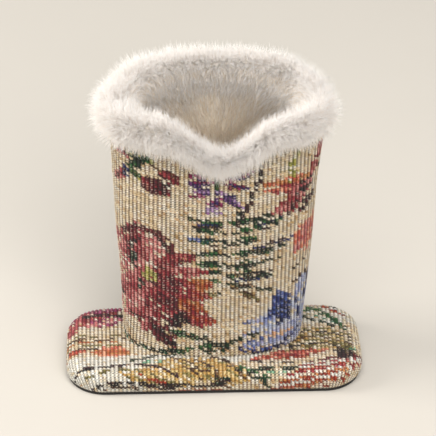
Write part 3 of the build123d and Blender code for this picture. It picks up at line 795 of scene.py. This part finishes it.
def sleeve_panel(name, cloth, first, last):
    """The sleeve's tapestry between two ribs, from the hem under its foot up to the rim."""
    across = np.linspace(first, last, (last - first) * PER_RIB + 1)
    up = np.concatenate([[-3, -2, -1], np.arange(0, SLEEVE_ROWS * PER_ROW + 1) / PER_ROW])
    nominal = (across - SLEEVE_RIBS / 2) * RIB
    grid = np.zeros((len(up), len(across), 3))
    for place, row in enumerate(up):
        z = FOOT_Z + max(row, 0) * ROW
        low = max(HEM_ROUND - (z - FOOT_Z), 0)
        inset = RIB_HEIGHT + HEM_ROUND - math.sqrt(HEM_ROUND**2 - low**2) + HEM_UNDER * max(-row, 0) / 3
        reach = round_length(z)[-1]
        outer = STEADY + (np.abs(nominal) - STEADY) * (reach - STEADY) / (WIDEST / 2 - STEADY)
        along = np.where(np.abs(nominal) < STEADY, nominal, np.sign(nominal) * outer)
        turn = np.interp(along, round_length(z), BACK_TURNS)
        dip = SEAM_DIP * np.exp(-(((reach - np.abs(along)) / SEAM_WIDTH) ** 2))
        dip -= HEM_FLARE * math.exp(-(z - FOOT_Z) / HEM_FADE) * np.clip(-np.sin(turn), 0, 1)
        top = np.minimum(z, rim_height(*oval(turn, z, inset + dip)))
        grid[place] = np.stack([*oval(turn, top, inset + dip), top], axis=-1)
    height, colours = weave(cloth, *np.meshgrid(across, np.maximum(up, 0)))
    slack = 0.5 * wander(grid, 34, 2) + 0.22 * wander(grid, 11, 3)
    lift = height + slack * np.clip((grid[..., 2] - FOOT_Z) / 12, 0, 1)
    panel = woven(name, grid, lift, colours, grid_faces(len(up), len(across)))
    return panel


BASE_TUCK = 1.0
BASE_UNDER = 4.0


def base_point(across, along):
    """Where a point of the base's flat cloth goes when it is pulled over the top, down and under."""
    half_x, half_y = (BASE_HIGH[0] - BASE_LOW[0]) / 2, (BASE_HIGH[1] - BASE_LOW[1]) / 2
    dx = np.maximum(np.abs(across) - (half_x - BASE_CORNER), 0)
    dy = np.maximum(np.abs(along) - (half_y - BASE_CORNER), 0)
    length = np.maximum(np.hypot(dx, dy), 1e-9)
    far = length - (BASE_CORNER - BASE_EDGE)
    arc = BASE_EDGE * math.pi / 2
    side = BASE_HIGH[2] - BASE_EDGE - BASE_LOW[2]
    angle = np.clip(far, 0, arc) / BASE_EDGE
    down = BASE_EDGE * (1 - np.cos(angle)) + np.clip(far - arc, 0, side)
    past = far - arc - side
    out = BASE_EDGE * np.sin(angle) - np.clip(past, 0, BASE_UNDER)
    out = out - BASE_TUCK * np.clip(past / 1.6 + 1, 0, 1) ** 2
    level = []
    for flat, half, d in ((across, half_x, dx), (along, half_y, dy)):
        round_corner = d / length * np.sign(flat) * (BASE_CORNER - BASE_EDGE + out)
        pulled = np.sign(flat) * np.minimum(np.abs(flat), half - BASE_CORNER) + round_corner
        level.append(np.where(far > 0, pulled, flat))
    height = BASE_HIGH[2] - np.maximum(down, 0)
    return np.stack([*level, height], axis=-1), far > arc + side + BASE_UNDER


def base_panel():
    """The base's tapestry, one cloth pulled over the padding and turned under its edge."""
    cloth = base_cloth()
    across = np.arange(BASE_RIBS * PER_RIB + 1) / PER_RIB
    up = np.arange(BASE_ROWS * PER_ROW + 1) / PER_ROW
    ribs, rows = np.meshgrid(across, up)
    grid, beyond = base_point((ribs - BASE_RIBS / 2) * BASE_RIB, (rows - BASE_ROWS / 2) * ROW)
    height, colours = weave(cloth, ribs, rows)
    puff = np.maximum(0.55 * wander(grid, 22, 6) + 0.2 * wander(grid, 8, 7), -0.35)
    tucked = np.clip((grid[..., 2] - BASE_LOW[2]) / 2.5, 0, 1)
    faces = grid_faces(len(up), len(across))
    faces = faces[~beyond.ravel()[faces].all(axis=1)]
    panel = woven("base_tapestry", grid, (height - RIB_HEIGHT + puff) * tucked, colours, faces)
    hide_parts("base_cover")


# ---- fur

CUFF_INSET = 1.6
CUFF_OUT = 7.2
CUFF_IN = 6.8
CUFF_UP = 8.0
CUFF_DOWN = 6.9
CUFF_STITCHED = 8.3
PILE = 4.0


def rim_loop(count):
    """Points evenly spaced round the rim's middle line, with the level way out at each."""
    z = rim_height(*oval(BACK_TURNS, RIM_Z, CUFF_INSET))
    x, y = oval(BACK_TURNS, z, CUFF_INSET)
    line = np.stack([x, y, z], axis=-1)
    length = np.concatenate([[0], np.cumsum(np.linalg.norm(np.diff(line, axis=0), axis=1))])
    places = np.linspace(0, length[-1], count, endpoint=False)
    line = np.stack([np.interp(places, length, line[:, k]) for k in range(3)], axis=-1)
    ahead = np.roll(line, -1, axis=0) - np.roll(line, 1, axis=0)
    out = np.stack([ahead[:, 1], -ahead[:, 0], 0 * ahead[:, 0]], axis=-1)
    return line, unit(out)


LOOP, LOOP_OUT = rim_loop(720)


def near(x, centre, width):
    """1 at a centre, falling smoothly to 0 at a width from it."""
    return np.clip(1 - ((x - centre) / width) ** 2, 0, 1) ** 2


def cuff_point(place, angle, depth):
    """A point of the cuff and its normal: place is 0-1 round the rim, angle runs from out over the top."""
    index = (place % 1.0) * len(LOOP)
    low = np.floor(index).astype(int) % len(LOOP)
    part = (index - np.floor(index))[..., None]
    high = (low + 1) % len(LOOP)
    middle = LOOP[low] * (1 - part) + LOOP[high] * part
    out = LOOP_OUT[low] * (1 - part) + LOOP_OUT[high] * part
    front = np.clip((SLEEVE_Y - middle[..., 1]) / 6, 0, 1)
    dip = near(middle[..., 0], NOTCH_X, 24) * front
    swell = near(middle[..., 0], -27, 26) * front
    behind = np.clip((middle[..., 1] - SLEEVE_Y) / 20, 0, 1)
    left = -middle[..., 0] / 42
    wider = 0.6 * left + 2.0 * behind * np.clip(left, 0, 1)
    inner = CUFF_IN + 0.4 * behind + 8.0 * np.clip(left - 0.45, 0, 0.45)
    inner = inner + 4.0 * np.clip(-left - 0.55, 0, 0.4)
    wide = np.where(np.cos(angle) > 0, CUFF_OUT - 0.6 * dip + wider, inner) - depth
    over = CUFF_UP - 2.0 * dip + 1.0 * swell
    under = CUFF_DOWN - 0.6 * dip + 1.4 * behind + 7.0 * np.clip(-np.cos(angle), 0, 1)
    tall = np.where(np.sin(angle) > 0, over, under) - depth
    up = np.zeros_like(out)
    up[..., 2] = 1
    point = middle + out * (wide * np.cos(angle))[..., None] + up * (tall * np.sin(angle))[..., None]
    normal = out * (np.cos(angle) / wide)[..., None] + up * (np.sin(angle) / tall)[..., None]
    return point, unit(normal)


def clumps(points, size, seed):
    """The way to the nearest tuft's middle: the slope of smooth noise, which draws hairs together."""
    step = 0.4
    moved = [wander(points + np.eye(3)[k] * step, size, seed) for k in range(3)]
    return (np.stack(moved, axis=-1) - wander(points, size, seed)[..., None]) / step * size


def cuff_body():
    """The cuff's backing: a lumpy roll over the rim under the pile."""
    columns, rows = 360, 36
    place, angle = np.meshgrid(np.arange(columns) / columns, np.arange(rows) / rows * 2 * math.pi)
    points, normals = cuff_point(place, angle, PILE)
    points = points + normals * (0.8 * wander(points, 9, 4))[..., None]
    faces = grid_faces(rows + 1, columns, closed=True) % (rows * columns)
    body = new_mesh("cuff_backing", points.reshape(-1, 3), faces)
    settle(body, "fur", FUR_BACKING)
    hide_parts("fur_cuff")


STRAND_POINTS = 10


def strands(name, roots, normals, lean, length, width, seed, painted_shade_share):
    """Tapered hairs that bend from a normal to a lean; the last argument is the share of strands in the
    deep tints, darker and warmer: painted shade.
    """
    random = np.random.default_rng(seed)
    count = len(roots)
    start = roots + normals * (0.5 * length)[:, None]
    end = start + lean * (0.5 * length)[:, None]
    side = unit(np.cross(normals, random.normal(size=(count, 3))))
    other = np.cross(normals, side)
    rings = []
    for t, share in ((0.0, 1.0), (0.4, 0.9), (0.75, 0.6)):
        middle = roots * (1 - t) ** 2 + start * 2 * t * (1 - t) + end * t**2
        for corner in range(3):
            angle = corner * 2 * math.pi / 3
            way = side * math.cos(angle) + other * math.sin(angle)
            rings.append(middle + way * (width * share)[:, None])
    points = np.stack([*rings, end], axis=1).reshape(-1, 3)
    pattern, parts = [(0, 2, 1)], [0]
    for ring in range(2):
        for corner in range(3):
            a, b = 3 * ring + corner, 3 * ring + (corner + 1) % 3
            pattern += [(a, b, b + 3), (a, b + 3, a + 3)]
            parts += [ring, ring]
    pattern += [(6, 7, 9), (7, 8, 9), (8, 6, 9)]
    parts += [2, 2, 2]
    faces = np.arange(count)[:, None, None] * STRAND_POINTS + np.array(pattern)[None]
    hair = new_mesh(name, points, faces.reshape(-1, 3))
    settle(hair, "fur", *FUR)
    # Painted shade: a share of strands takes the darker, warmer tints.
    tint = random.choice([0, 1, 2], count, p=[0.5, 0.32, 0.18]) + 3 * (random.random(count) < painted_shade_share)
    index = (tint[:, None] * 3 + np.array(parts)[None]).ravel()
    hair.data.polygons.foreach_set("material_index", index.astype(np.int32))


def cuff_pile(pieces, each):
    """The cuff's pile, in soft tufts that droop outwards and into the mouth."""
    for piece in range(pieces):
        random = np.random.default_rng(100 + piece)
        place = (piece + random.random(each)) / pieces
        angle = random.uniform(math.radians(-80), math.radians(258), each)
        roots, normals = cuff_point(place, angle, PILE + 0.3)
        roots = roots + normals * (0.8 * wander(roots, 9, 4))[:, None]
        long = 4.5 + 0.9 * wander(roots, 7, 5) + 0.7 * wander(roots, 2.6, 6) + random.normal(0, 0.5, each)
        wisps = random.random(each) < 0.24
        long = np.where(wisps, long + random.uniform(0.8, 4.0, each), long)
        here = cuff_point(place, angle, PILE)[0]
        down = unit(cuff_point(place, angle - 0.03, PILE)[0] - here)
        flow = np.clip(1.6 * np.cos(angle), -1, 1)
        sweep = cuff_point(place + 0.002, angle, PILE)[0] - here
        sweep *= (0.8 * wander(roots, 9, 64) / np.linalg.norm(sweep, axis=1))[:, None]
        drawn = sweep + 0.12 * clumps(roots, 5.0, 61) + 0.24 * clumps(roots, 2.0, 62)
        lean = normals + 0.3 * flow[:, None] * down + drawn + random.normal(0, 0.48, (each, 3))
        inner = np.clip(-np.cos(angle), 0, 1)
        lean[:, 2] -= 0.25 * inner * (1 + 1.5 * np.clip(-np.sin(angle), 0, 1))
        width = random.uniform(0.04, 0.08, each)
        # Painted shade: strands low on the roll's inner side, facing into the mouth, take the darker,
        # warmer tints.
        painted_shade_share = 0.4 * inner * np.clip(0.9 - np.sin(angle), 0, 1)
        long = np.clip(long, 2.0, 9.0)
        strands(f"cuff_pile_{piece + 1}", roots, normals, unit(lean), long, width, 300 + piece, painted_shade_share)


LINING_BACKING = 4.6
LINING_PILE_LOW = 46.0


def lining_body():
    """The lining's backing: a tube down the inside of the sleeve, closed by the floor pad."""
    turns = np.linspace(0, 2 * math.pi, 240, endpoint=False)
    heights = np.linspace(FLOOR_LOW[2] + 1.0, SLEEVE_HIGH[2] + 1.0, 70)
    x, y = oval(turns[None], heights[:, None], LINING_BACKING)
    grid = np.stack([x, y, np.minimum(heights[:, None], rim_height(x, y) + 1.0)], axis=-1)
    grid = grid + surface_normals(grid, True) * (0.5 * wander(grid, 12, 8))[..., None]
    middle = grid[0].mean(axis=0)
    floor = [middle + (grid[0] - middle) * share for share in (0.02, 0.35, 0.7)]
    grid = np.concatenate([np.array(floor), grid])
    faces = grid_faces(len(grid), len(turns), True)[:, ::-1]
    body = new_mesh("lining_backing", grid.reshape(-1, 3), faces)
    settle(body, "fur", FUR_BACKING)
    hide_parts("fur_lining", "lining_floor")


def lining_pile(pieces, each):
    """The pile inside the sleeve, leaning down into it."""
    for piece in range(pieces):
        random = np.random.default_rng(500 + piece)
        turn = (piece + random.random(each)) / pieces * 2 * math.pi
        top = SLEEVE_HIGH[2] + 2
        z = top - (top - LINING_PILE_LOW) * random.random(each) ** 1.3
        x, y = oval(turn, z, LINING_BACKING)
        keep = z < rim_height(x, y)
        turn, z, x, y = turn[keep], z[keep], x[keep], y[keep]
        roots = np.stack([x, y, z], axis=-1)
        inner_x, inner_y = oval(turn, z, LINING_BACKING + 1.0)
        normals = unit(np.stack([inner_x - x, inner_y - y, 0 * z], axis=-1))
        long = 5.2 + 1.2 * wander(roots, 8, 9) + random.normal(0, 0.6, len(roots))
        edge = np.clip(1 - (rim_height(x, y) - z) / 16, 0, 1)
        sway = np.stack([wander(roots, 10, k) for k in (21, 22, 23)], axis=-1)
        lean = (0.7 + 0.7 * edge)[:, None] * normals + 0.3 * sway + 0.08 * clumps(roots, 2.4, 63)
        lean += random.normal(0, 0.42, roots.shape)
        lean[:, 2] -= 0.75 - 0.5 * edge
        long = np.clip(long + 1.5 * edge, 2, 8)
        width = random.uniform(0.035, 0.065, len(roots))
        # Painted shade: the deeper below the rim, the larger the share of darker, warmer strands.
        painted_shade_share = np.clip((rim_height(x, y) - z) / 26 - 0.05, 0.05, 1)
        strands(f"lining_pile_{piece + 1}", roots, normals, unit(lean), long, width, 700 + piece, painted_shade_share)


# ---- padding, stitches and the hidden parts


def foam_pad():
    """The foam under the base's cloth, thick round the plate and thin over it."""
    half_x, half_y = CORE_HIGH[0] - 0.7, CORE_HIGH[1] - 0.7
    plate_x, plate_y = WEIGHT_HIGH[0] + 0.3, (WEIGHT_HIGH[1] - WEIGHT_LOW[1]) / 2 + 0.3
    middle = (WEIGHT_HIGH[1] + WEIGHT_LOW[1]) / 2
    low, over, high = CORE_LOW[2], WEIGHT_HIGH[2] + 0.1, CORE_HIGH[2] - 0.6
    rings = [(0.02, 0.02, 0, middle, over)]
    rings += [(plate_x, plate_y, 3, middle, z) for z in (over, low)]
    rings += [(half_x - 0.3, half_y - 0.3, 10.7, 0, low), (half_x, half_y, 11, 0, low + 0.6)]
    edge = 4.0
    for step in range(6):
        angle = math.pi / 2 * step / 5
        inset = edge * (1 - math.cos(angle))
        rings.append((half_x - inset, half_y - inset, 11 - inset, 0, high - edge + edge * math.sin(angle)))
    rings += [(half_x * share, half_y * share, 7 * share, 0, high) for share in (0.75, 0.5, 0.25, 0.01)]
    points = []
    turns = np.linspace(0, 2 * math.pi, 160, endpoint=False)
    for wide, deep, corner, centre, z in rings:
        x = np.cos(turns) * corner + np.sign(np.cos(turns)) * (wide - corner)
        y = np.sin(turns) * corner + np.sign(np.sin(turns)) * (deep - corner) + centre
        points.append(np.stack([x, y, 0 * x + z], axis=-1))
    grid = np.array(points)
    faces = grid_faces(len(rings), len(turns), True)[:, ::-1]
    pad = new_mesh("base_foam", grid.reshape(-1, 3), faces)
    settle(pad, "foam", FOAM_MATERIAL)
    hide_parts("base_padding")


def sewn(name, node, ends, seed):
    """Short stitches of two-ply thread, each rising out of the cloth between its two ends."""
    random = np.random.default_rng(seed)
    sides, steps = 8, 13
    points, faces = [], []
    around = np.linspace(0, 2 * math.pi, sides, endpoint=False)
    for low, high, out in ends:
        low = low + random.normal(0, 0.12, 3)
        high = high + random.normal(0, 0.12, 3)
        side = np.cross(unit(high - low), out)
        first = len(points) * sides
        for step in range(steps):
            t = step / (steps - 1)
            middle = low + (high - low) * t + out * (0.62 * math.sin(math.pi * t) ** 0.6 - 0.42)
            twist = around - 2.4 * math.pi * t
            radius = 0.27 * (1 + 0.2 * np.cos(2 * twist)) * (0.45 + 0.55 * math.sin(math.pi * t) ** 0.4)
            way = side * np.cos(around)[:, None] + out * np.sin(around)[:, None]
            points.append(middle + way * radius[:, None])
        faces.append(grid_faces(steps, sides, True) + first)
    thread = new_mesh(name, np.concatenate(points), np.concatenate(faces))
    settle(thread, "thread", THREAD_MATERIAL)
    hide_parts(node)


def upright(turn, bottom, length):
    """The two ends and the outward direction of an upright stitch on the sleeve."""
    low = np.array([*oval(turn, bottom), bottom])
    high = np.array([*oval(turn, bottom + length), bottom + length])
    out = low * (1, 1, 0) - np.array([*oval(turn, bottom, 1.0), 0])
    return low, high, unit(out)


SEAM_PITCH = 4.2
FOOT_STITCHES = 44
CUFF_STITCHES = 40


def all_round(count):
    """Evenly spaced turns round the sleeve."""
    return 2 * math.pi * (np.arange(count) + 0.5) / count


def stitches():
    """The seam at the back, the stitches round the foot and those that tie the cuff down."""
    heights = np.arange(FOOT_Z + SEAM_PITCH, SEAM_HIGH[2] - 2, SEAM_PITCH)
    sewn("seam_stitches", "back_seam_thread", [upright(math.pi / 2, z, 3.2) for z in heights], 31)
    ends = [upright(turn, FOOT_Z - 0.3, 2.3) for turn in all_round(FOOT_STITCHES)]
    sewn("hem_stitches", "foot_stitches", ends, 32)
    ends = []
    for turn in all_round(CUFF_STITCHES):
        top = rim_height(*oval(turn, RIM_Z, CUFF_INSET)) - CUFF_STITCHED
        ends.append(upright(turn, top - 1.8, 2.4))
    sewn("rim_stitches", "cuff_stitches", ends, 33)


def finish(name, *look, nodes, **values):
    """Gives CAD parts that keep their shape a material of their own."""
    material = plain_material(name, *look, **values)
    for node in nodes:
        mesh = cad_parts[node].data
        mesh.materials.clear()
        mesh.materials.append(material)


SLEEVE_CLOTH = sleeve_cloth()
THIRD = SLEEVE_RIBS // 3
STRANDS_EACH = 12000
sleeve_panel("sleeve_tapestry_left", SLEEVE_CLOTH, 0, THIRD)
front = sleeve_panel("sleeve_tapestry_front", SLEEVE_CLOTH, THIRD, SLEEVE_RIBS - THIRD)
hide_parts("sleeve_cover")
sleeve_panel("sleeve_tapestry_right", SLEEVE_CLOTH, SLEEVE_RIBS - THIRD, SLEEVE_RIBS)
base_panel()
cuff_body()
cuff_pile(12, STRANDS_EACH)
lining_body()
lining_pile(6, STRANDS_EACH)
foam_pad()
stitches()
finish("black_sole", linear(26, 24, 24), 0.62, 1800, 0.3, 0.00008, nodes=["base_sole"])
finish("fibreboard", linear(176, 140, 98), 0.85, 1400, 0.25, 0.00008, nodes=["base_board", "foot_board"])
finish("grey_card", linear(168, 156, 136), 0.9, 1100, 0.16, 0.00004, nodes=["sleeve_stiffener"])
finish("paper_tape", linear(204, 176, 126), 0.7, 900, 0.12, 0.00003, (1, 1, 0.2), nodes=["stiffener_tape"])
finish("steel_plate", linear(150, 150, 152), 0.38, 700, 0.12, 0.00003, (0.05, 1, 1),
       nodes=["base_weight", "foot_screws"], Metallic=1.0)


# ---- floor, light and camera


def area_light(name, place, aim, size, power, colour):
    """A soft square lamp that looks at a point."""
    lamp = bpy.data.lights.new(name, "AREA")
    lamp.size = size
    lamp.energy = power
    lamp.color = colour
    holder = bpy.data.objects.new(name, lamp)
    holder.location = place
    holder.rotation_euler = (Vector(aim) - Vector(place)).to_track_quat("-Z", "Y").to_euler()
    bpy.context.scene.collection.objects.link(holder)


FLOOR_COLOUR = (0.5, 0.475, 0.435)
FLOOR_HALF = 1500
floor_material, floor_tree, floor_surface = shader("pale_floor", FLOOR_COLOUR, 0.9, Specular_IOR_Level=0.1)
tinted(floor_tree, floor_surface, FLOOR_COLOUR, noise_node(floor_tree, 30), 0.99, 1.01)
corners = [(x * FLOOR_HALF, y * FLOOR_HALF, 0) for x, y in ((-1, -1), (1, -1), (1, 1), (-1, 1))]
floor = new_mesh("floor", corners, [(0, 1, 2, 3)], False)
floor.data.materials.append(floor_material)

area_light("key", (-1.1, 0.05, 0.62), (0, 0, 0.07), 0.45, 12.5, (1, 0.97, 0.92))
area_light("fill", (0.35, -1.0, 0.9), (0, 0, 0.06), 0.9, 13, (1, 0.97, 0.93))
area_light("top", (0, -0.3, 1.1), (0, 0, 0.06), 0.7, 8.5, (1, 0.98, 0.95))

world = bpy.data.worlds.new("studio")
world.use_nodes = True
set_sockets(world.node_tree.nodes["Background"], {"Color": (1, 0.98, 0.95, 1), "Strength": 0.5})
bpy.context.scene.world = world
bpy.context.scene.view_settings.view_transform = "Standard"

AIM = Vector((0.002, 0.00075, 0.071))
AZIMUTH = math.radians(-1.7)
ELEVATION = math.radians(35)
AWAY = 1.6
FOCAL_LENGTH = 322
lens = bpy.data.cameras.new("camera")
lens.lens = FOCAL_LENGTH
lens.sensor_width = 36
lens.clip_end = 20
camera = bpy.data.objects.new("camera", lens)
level = math.cos(ELEVATION)
back = Vector((math.sin(AZIMUTH) * level, -math.cos(AZIMUTH) * level, math.sin(ELEVATION)))
camera.location = AIM + back * AWAY
camera.rotation_euler = (-back).to_track_quat("-Z", "Y").to_euler()
bpy.context.scene.collection.objects.link(camera)
bpy.context.scene.camera = camera
